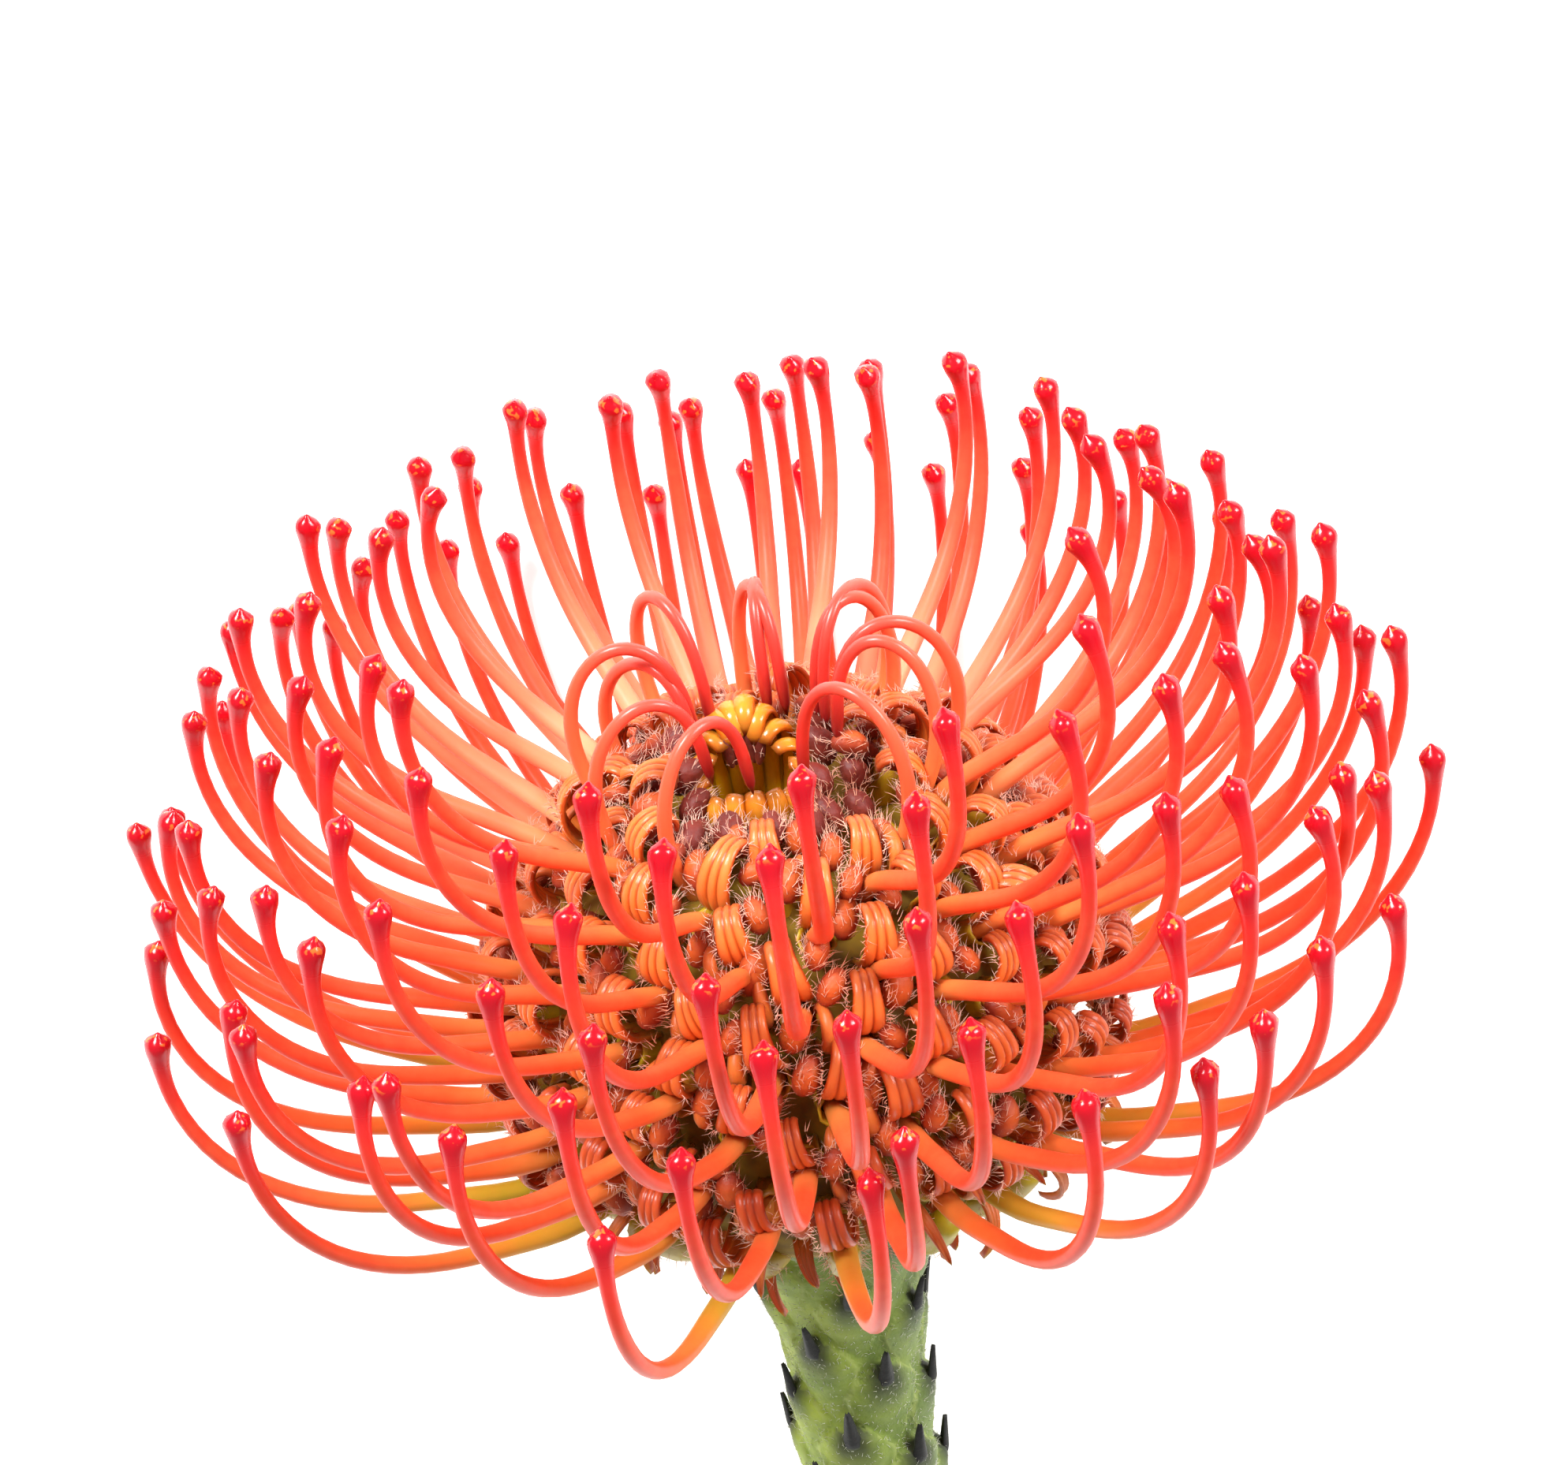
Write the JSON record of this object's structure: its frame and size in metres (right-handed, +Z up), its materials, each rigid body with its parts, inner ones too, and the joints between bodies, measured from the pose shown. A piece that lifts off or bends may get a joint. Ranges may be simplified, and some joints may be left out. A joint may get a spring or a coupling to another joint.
{
  "type": "pincushion protea flower",
  "caption": "Cut pincushion protea flower head with upswept coral styles, curled florets and a short scaly stem, lying on its side.",
  "frame": {"origin": "middle of the flower's box on the surface it lies on", "axes": "+Z up from the surface, +Y from the cut end of the stem towards the flower's open side, +X across it"},
  "size_m": [0.0975, 0.1131, 0.0878],
  "materials": {
    "florets": "satin",
    "closed_florets": "matte",
    "woolly_bracts": "matte",
    "stem": "matte"
  },
  "bodies": {
    "root": {"flower_head": "florets", "closed_florets": "closed_florets", "bract_collar": "woolly_bracts", "stem": "stem"}
  },
  "joints": []
}
